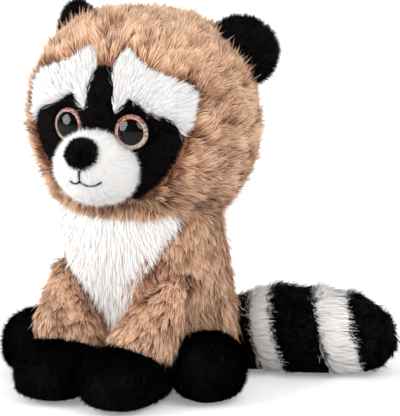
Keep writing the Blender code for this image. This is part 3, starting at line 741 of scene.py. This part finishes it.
def awayFrom(point, sag=0.0):
    heart = np.array(point)

    def flow(spots, normals):
        return unit(spots - heart) + np.array([0, 0, -sag])
    return flow


def steady(direction, spread=0.0):
    way = np.array(direction, dtype=float)

    def flow(spots, normals):
        out = normals * np.array([1, 1, 0]) * spread
        return way + out
    return flow


longBrown = {
    "perCm2": 232,
    "length": 0.0086,  # metres, as all lengths here
    "vary": 0.24,
    "lift": 0.38,  # radians off the cloth at the root
    "bend": 0.18,  # how much less of that at the tip
    "droop": 0.0,
    "press": 0.007,  # below this height the pile gets shorter
    "mess": 0.25,
    "curl": 90.0,
    "swirl": 0.75,
    "stray": 0.05,
    "tuft": 0.0040,
    "pull": 0.62,
    "width": 0.00046,
    "roll": 0.5,
    "soft": 0.70,
    "streak": 110.0,
    "streakDepth": 1.3,
    "patch": 0.28,
    "fleck": 0.10,
    "dark": 0.20,
    "clear": 0.0018,
    "groove": 0.0006,
    "seamReach": 0.010,  # near a seam the pile is trimmed and its dark roots show, with painted shade darkening it where the panel is sewn in
    "seamTrim": 0.20,
    "seamDark": 0.80,
    "shade": 1.0,  # all the dyes times this; on the white piles it is painted shade on the brows and muzzle and painted light on the chest
    "bent": True,
}
torsoBrown = {**longBrown, "perCm2": 270, "length": 0.0078, "lift": 0.34, "curl": 110.0, "swirl": 0.70,
              "seamTrim": 0.4, "seamDark": 0.35, "clear": 0.0006}
legBrown = {**torsoBrown, "perCm2": 320, "length": 0.0068, "lift": 0.36, "swirl": 0.9, "dark": 0.10}
# The chin's pile shows more of its dark roots than the head's, as painted shade under the muzzle, and most on
# the short pile that stands up at its top edge
chinBrown = {**longBrown, "perCm2": 520, "length": 0.0080, "lift": 0.50, "bend": 0.45, "mess": 0.18,
             "swirl": 0.35, "dark": 0.45, "clear": 0.0004}
chinTopBrown = {**chinBrown, "length": 0.0045, "lift": 0.9, "dark": 0.8}
# One white dye in lit and shaded copies: the brows' is darker, painted shade where the key lamp falls on them,
# the muzzle's a little darker, and the chest's paler, painted light where the head shades it
longWhite = {**longBrown, "perCm2": 700, "length": 0.0060, "lift": 0.32, "bend": 0.24, "mess": 0.07,
             "swirl": 0.18, "streakDepth": 0.10, "patch": 0.1, "fleck": 0.02, "dark": 0.05, "soft": 0.96,
             "pull": 0.22, "stray": 0.06, "tuft": 0.0024, "width": 0.00042, "clear": 0.0009, "shade": 0.87}
chestWhite = {**longWhite, "perCm2": 560, "length": 0.0080, "lift": 0.30, "droop": 0.05, "dark": 0.0,
              "shade": 1.03}
muzzleWhite = {**longWhite, "perCm2": 1400, "length": 0.0030, "lift": 0.50, "width": 0.00030, "pull": 0.20,
               "vary": 0.6, "mess": 0.2, "stray": 0.20, "tuft": 0.0018, "bent": False, "shade": 0.98}
maskBlack = {**longBrown, "perCm2": 1100, "length": 0.0034, "lift": 0.70, "bend": 0.3, "swirl": 0.3,
             "width": 0.00036, "tuft": 0.0018, "pull": 0.3, "streakDepth": 0.9, "dark": 0.9, "fleck": 0.9,
             "stray": 0.12, "bent": False, "clear": 0.0009}
noseBlack = {**maskBlack, "perCm2": 1000, "length": 0.0029, "lift": 1.1}
earBlack = {**maskBlack, "perCm2": 1000, "length": 0.0040, "lift": 0.48, "stray": 0.2, "vary": 0.6}
pawBlack = {**maskBlack, "perCm2": 700, "length": 0.0034, "lift": 0.55, "bend": 0.35, "width": 0.00042,
            "tuft": 0.0030, "pull": 0.45, "stray": 0.2, "vary": 0.5, "shade": 0.7}
tailBlack = {**longBrown, "perCm2": 280, "length": 0.0072, "lift": 0.44, "bend": 0.40, "dark": 0.35,
             "fleck": 0.35, "streakDepth": 0.5, "clear": 0.0009}
tailWhite = {**longWhite, "perCm2": 330, "length": 0.0072, "lift": 0.46, "bend": 0.36, "dark": 0.15,
             "shade": 1.0}


def middleOf(node):
    low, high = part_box(node)
    return (Vector(low) + Vector(high)) / 2


# Where each piece's pile is combed from, and what it keeps clear of
flowLook = {
    "chin": (0, 0.012, -0.020),  # from the tip of the nose
    "noseFront": (0, -0.004, 0),
    "chest": (0.010, 0.020),  # behind and over the top of the white panel
    "earRoot": 0.85,  # from the middle of the head to that of the ear
    "ankle": 0.012,
    "pawSag": 0.2,
    "footSag": 0.1,
    "spread": 0.25,
    "legWay": (0, -0.5, -1),
    "edgeWay": (-0.15, 0, -1),
    "chinWay": (0, -0.2, -1),
    "chinTopWay": (0, -0.3, 1),
    "eyeRoom": 0.0095,
    "eyeRoomBelow": 0.0090,
}
eyeHearts = [middleOf(f"eye_{word}_ring") for word in ("left", "right")]


def clearOfEyes(radius):
    def mask(spots):
        keep = np.ones(len(spots), dtype=bool)
        for heart in eyeHearts:
            keep &= np.linalg.norm(spots - np.array(heart), axis=1) > radius
        return keep
    return mask


facePanels = ("face_mask", "brow_left", "brow_right")
limbs = ("front_leg_left", "front_leg_right", "front_paw_left", "front_paw_right", "hind_foot_left",
         "hind_foot_right")
chinHeart = noseTip + Vector(flowLook["chin"])
chestLow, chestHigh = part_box("chest_panel")
behind, above = flowLook["chest"]
chestHeart = Vector((middleX, chestLow[1] + behind, chestHigh[2] + above))
headFluffLook = {
    "low": 0.026,  # the fluff under the face starts this far over the head's lowest point
    "crown": 0.030,  # and the crown's this far under its highest
    "fade": 0.018,
    "front": 0.4,
    "lowLift": 0.50,
    "crownLift": 0.20,
}
chestLook = {
    "levelFrom": 0.002,
    "levelStep": 0.003,
    "sideFrom": 0.030,  # above this the white reaches round to the torso's side
    "chinHeight": 0.0945,  # above this the chin's brown pile grows on the chest's top edge
    "whiteHeight": 0.0925,
    "shift": 0.0065,  # how far the white is worn towards the toy's right, less towards the chin
    "shiftFrom": (0.062, 0.088),
    "frontDepth": -0.012,
}
chestPoints = skins["chest_panel"].points
chestStep = chestLook["levelStep"]
chestLevels = np.arange(chestPoints[:, 2].min() + chestLook["levelFrom"], chestPoints[:, 2].max(), chestStep)
chestWidths = [np.abs(chestPoints[np.abs(chestPoints[:, 2] - level) < chestStep][:, 0] - middleX).max()
               for level in chestLevels]


def headFluff(spots, normals):
    # Under the face and on the crown the pile stands out a little
    look = headFluffLook
    low = np.clip((headLow.z + look["low"] - spots[:, 2]) / look["fade"], 0, 1)
    crown = np.clip((spots[:, 2] - headHigh.z + look["crown"]) / look["fade"], 0, 1)
    return low * np.clip(look["front"] - normals[:, 1], 0, 1) * look["lowLift"] + crown * look["crownLift"]


def pastChestEdge(spots):
    # How far out a spot lies from the edge of the white panel
    return np.abs(spots[:, 0] - middleX) - np.interp(spots[:, 2], chestLevels, chestWidths)


def onChin(spots):
    return spots[:, 2] > chestLook["chinHeight"]


def brownOnChest(spots):
    toyLeft = spots[:, 0] > middleX
    shift = np.interp(spots[:, 2], chestLook["shiftFrom"], (chestLook["shift"], 0.0))
    return toyLeft & (pastChestEdge(spots) > -shift) & (spots[:, 2] < chestLook["whiteHeight"])


def whiteOnChest(spots):
    return ~brownOnChest(spots) & (spots[:, 2] < chestLook["whiteHeight"])


def whiteOnTorso(spots):
    toyRight = (spots[:, 0] < middleX) & (spots[:, 1] < chestLook["frontDepth"])
    level = (spots[:, 2] > chestLook["sideFrom"]) & (spots[:, 2] < chestLook["whiteHeight"])
    return toyRight & level & (pastChestEdge(spots) < chestLook["shift"])


def brownOnTorso(spots):
    return ~whiteOnTorso(spots)


spread = flowLook["spread"]
eyeRoom, eyeRoomBelow = clearOfEyes(flowLook["eyeRoom"]), clearOfEyes(flowLook["eyeRoomBelow"])
growPile("head_pile", "head", "brown", longBrown, awayFrom(chinHeart),
         facePanels + ("ear_left", "ear_right", "muzzle"), eyeRoom, seams=("face_mask",), perk=headFluff)
for word in ("left", "right"):
    growPile(f"brow_{word}_pile", f"brow_{word}", "white", longWhite, awayFrom(noseTip), ("head", "face_mask"),
             eyeRoom)
    earRoot = headHeart + (middleOf(f"ear_{word}") - headHeart) * flowLook["earRoot"]
    growPile(f"ear_{word}_pile", f"ear_{word}", "black", earBlack, awayFrom(earRoot), ("head",))
growPile("mask_pile", "face_mask", "black", maskBlack, awayFrom(noseTip),
         ("head", "brow_left", "brow_right", "muzzle"), eyeRoomBelow)
growPile("muzzle_pile", "muzzle", "white", muzzleWhite, awayFrom(noseTip), ("head", "face_mask", "nose"),
         eyeRoomBelow, "mouth_stitching")
noseFront = noseTip + Vector(flowLook["noseFront"])
growPile("nose_pile", "nose", "black", noseBlack, awayFrom(noseFront), ("muzzle",))
growPile("torso_pile", "torso", "brown", torsoBrown, steady((0, 0, -1), spread),
         ("head", "chest_panel") + limbs + ("tail_band_1",), brownOnTorso, seams=("chest_panel",))
growPile("torso_side_pile", "torso", "white", chestWhite, awayFrom(chestHeart), ("head", "chest_panel") + limbs,
         whiteOnTorso)
growPile("chest_pile", "chest_panel", "white", chestWhite, awayFrom(chestHeart), ("head",) + limbs,
         whiteOnChest)
growPile("chest_edge_pile", "chest_panel", "brown", torsoBrown, steady(flowLook["edgeWay"], spread),
         ("head",) + limbs, brownOnChest)
growPile("chin_pile", "chest_panel", "brown", chinBrown, steady(flowLook["chinWay"], spread), (), onChin)
growPile("chin_edge_pile", "chest_panel", "brown", chinTopBrown, steady(flowLook["chinTopWay"], spread), (),
         onChin)
for word in ("left", "right"):
    growPile(f"leg_{word}_pile", f"front_leg_{word}", "brown", legBrown, steady(flowLook["legWay"], spread),
             ("torso", "head", "chest_panel", f"front_paw_{word}", f"hind_foot_{word}"))
    paw = middleOf(f"front_paw_{word}")
    pawBack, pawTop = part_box(f"front_paw_{word}")[1][1:]
    ankle = Vector((paw.x, pawBack - flowLook["ankle"], pawTop))
    growPile(f"paw_{word}_pile", f"front_paw_{word}", "black", pawBlack, awayFrom(ankle, flowLook["pawSag"]),
             ("torso", f"front_leg_{word}", f"hind_foot_{word}"))
    foot = middleOf(f"hind_foot_{word}")
    heel = Vector((foot.x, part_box(f"hind_foot_{word}")[1][1], foot.z))
    growPile(f"foot_{word}_pile", f"hind_foot_{word}", "black", pawBlack, awayFrom(heel, flowLook["footSag"]),
             ("torso", f"front_leg_{word}", f"front_paw_{word}"))

tailLook = {
    "height": 0.020,
    "roundOff": 0.010,  # past the middle of the last band the pile turns outwards over this distance
    "onward": 0.3,
}
tipHeart = np.array(middleOf("tail_band_5"))
rootHeart = np.array(middleOf("tail_band_1"))
tipHeart[2] = rootHeart[2] = tailLook["height"]
tailWay = unit((tipHeart - rootHeart)[None, :])[0]


def tailFlow(spots, normals):
    past = ((spots - tipHeart) @ tailWay)[:, None] / tailLook["roundOff"]
    share = np.clip(past, 0, 1)
    return tailWay * (1 - share) + unit(spots - tipHeart) * share + tailWay * tailLook["onward"]


for band in range(1, 6):
    white = band % 2 == 0
    around = [f"tail_band_{other}" for other in (band - 1, band + 1) if 1 <= other <= 5]
    growPile(f"tail_pile_{band}", f"tail_band_{band}", "white" if white else "black",
             tailWhite if white else tailBlack, tailFlow, tuple(around) + ("torso",))
print("pile grown")

# Eyes: glitter and pupil printed on the back of a clear dome
eyeLook = {
    "radius": 0.0086,
    "height": 0.0056,
    "bed": 0.0003,  # how far above the middle of the plate the dome's flat back lies, so that it wets the print
    "flakes": 1500.0,
    "flakeSteps": (0.22, 0.62),
    "flakeRoughness": 0.35,
    "flakeSpecular": 0.5,
    "slope": 60.0,  # how fast pink turns to gold across the ring
    "wander": 0.8,
    "sides": (48, 24),
    "edge": 40.0,  # degrees, sharper than this stays an edge
    "clear": (0.97, 0.97, 0.97),
    "clearTone": (200.0, 0.02),
    "clearRoughness": 0.02,
    "clearSpecular": 1.0,
    "clearIndex": 1.58,
    "pink": ((0.55, 0.04, 0.05), (1.0, 0.20, 0.14), (1.0, 0.78, 0.70)),
    "gold": ((0.70, 0.30, 0.10), (1.0, 0.70, 0.34), (1.0, 0.97, 0.90)),
}
glossLook = {
    "printBlack": {"colour": (0.004, 0.0035, 0.0035), "roughness": 0.9, "speckle": 0.2, "specular": 0.0},
    "washerPlastic": {"colour": (0.80, 0.80, 0.78), "roughness": 0.5, "speckle": 0.1, "specular": 0.5},
    "threadCotton": {"colour": (0.012, 0.010, 0.010), "roughness": 0.7, "speckle": 0.5, "specular": 0.2},
}
speckleScale = 1500.0


def makeRamp(tree, colours):
    ramp = tree.nodes.new("ShaderNodeValToRGB")
    ramp.color_ramp.interpolation = "CONSTANT"
    stops = ramp.color_ramp.elements
    stops[0].position = 0.0
    stops[0].color = (*colours[0], 1)
    stops[1].position = eyeLook["flakeSteps"][1]
    stops[1].color = (*colours[2], 1)
    stop = stops.new(eyeLook["flakeSteps"][0])
    stop.color = (*colours[1], 1)
    return ramp


def makeGlitterMaterial(word, side):
    # Flakes of two foils, pinker at the upper inner edge and more golden at the lower outer one, where the
    # paler gold is painted light on that side of the ring
    material, tree, shader = newMaterial(word + "Glitter", eyeLook["flakeRoughness"], eyeLook["flakeSpecular"])
    place = tree.nodes.new("ShaderNodeTexCoord")
    flakes = tree.nodes.new("ShaderNodeTexVoronoi")
    flakes.inputs["Scale"].default_value = eyeLook["flakes"]
    split = tree.nodes.new("ShaderNodeSeparateColor")
    tree.links.new(place.outputs["Object"], flakes.inputs["Vector"])
    tree.links.new(flakes.outputs["Color"], split.inputs["Color"])
    heart = middleOf(f"eye_{word}_ring")
    slope = tree.nodes.new("ShaderNodeVectorMath")
    slope.operation = "DOT_PRODUCT"
    slope.inputs[1].default_value = (side * eyeLook["slope"], 0, -eyeLook["slope"])
    offset = tree.nodes.new("ShaderNodeVectorMath")
    offset.operation = "SUBTRACT"
    offset.inputs[1].default_value = heart
    tree.links.new(place.outputs["Object"], offset.inputs[0])
    tree.links.new(offset.outputs["Vector"], slope.inputs[0])
    mixed = tree.nodes.new("ShaderNodeMix")
    mixed.data_type = "RGBA"
    chance = addMath(tree, "SUBTRACT", split.outputs["Green"], 0.5)
    wander = addMath(tree, "MULTIPLY", chance, eyeLook["wander"])
    share = addMath(tree, "ADD", addMath(tree, "ADD", slope.outputs["Value"], 0.5), wander)
    share.node.use_clamp = True
    tree.links.new(share, mixed.inputs["Factor"])
    for foil, socket in (("pink", mixFirst), ("gold", mixSecond)):
        ramp = makeRamp(tree, eyeLook[foil])
        tree.links.new(split.outputs["Red"], ramp.inputs["Fac"])
        tree.links.new(ramp.outputs["Color"], mixed.inputs[socket])
    tree.links.new(mixed.outputs[mixResult], shader.inputs["Base Color"])
    return material


def makeGlossMaterial(name):
    look = glossLook[name]
    material, tree, shader = newMaterial(name, look["roughness"], look["specular"])
    tone = addTone(tree, shader, speckleScale, look["speckle"])
    tone.inputs["colour"].default_value = (*look["colour"], 1)
    return material


def makeClearMaterial(look):
    material, tree, shader = newMaterial("eyeClear", look["clearRoughness"], look["clearSpecular"])
    tone = addTone(tree, shader, *look["clearTone"])
    tone.inputs["colour"].default_value = (*look["clear"], 1)
    shader.inputs["Transmission Weight"].default_value = 1.0
    shader.inputs["IOR"].default_value = look["clearIndex"]
    return material


def makeDome(word, material):
    # A flattened ball cut off where it lies on the plate
    ring = middleOf(f"eye_{word}_ring")
    axis = (ring - middleOf(f"eye_{word}_washer")).normalized()
    seat = ring + axis * eyeLook["bed"]
    bpy.ops.object.select_all(action="DESELECT")
    segments, rings = eyeLook["sides"]
    bpy.ops.mesh.primitive_uv_sphere_add(segments=segments, ring_count=rings, radius=eyeLook["radius"],
                                         location=seat, rotation=axis.to_track_quat("Z", "Y").to_euler())
    dome = bpy.context.object
    dome.name = f"eye_{word}_lens"
    dome.scale = (1, 1, eyeLook["height"] / eyeLook["radius"])
    bpy.ops.object.transform_apply(location=True, rotation=True, scale=True)
    bpy.ops.object.mode_set(mode="EDIT")
    bpy.ops.mesh.select_all(action="SELECT")
    bpy.ops.mesh.bisect(plane_co=seat, plane_no=axis, use_fill=True, clear_inner=True)
    bpy.ops.object.mode_set(mode="OBJECT")
    bpy.ops.object.shade_smooth_by_angle(angle=math.radians(eyeLook["edge"]))
    dome.data.materials.append(material)
    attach(dome, "root")
    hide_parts(f"eye_{word}_dome")


def giveMaterial(name, material):
    nodes[name].data.materials.clear()
    nodes[name].data.materials.append(material)


clear = makeClearMaterial(eyeLook)
gloss = {name: makeGlossMaterial(name) for name in glossLook}
for word, side in (("left", 1), ("right", -1)):
    giveMaterial(f"eye_{word}_pupil", gloss["printBlack"])
    giveMaterial(f"eye_{word}_ring", makeGlitterMaterial(word, side))
    giveMaterial(f"eye_{word}_washer", gloss["washerPlastic"])
    makeDome(word, clear)
giveMaterial("mouth_stitching", gloss["threadCotton"])
print("eyes and mouth ready")
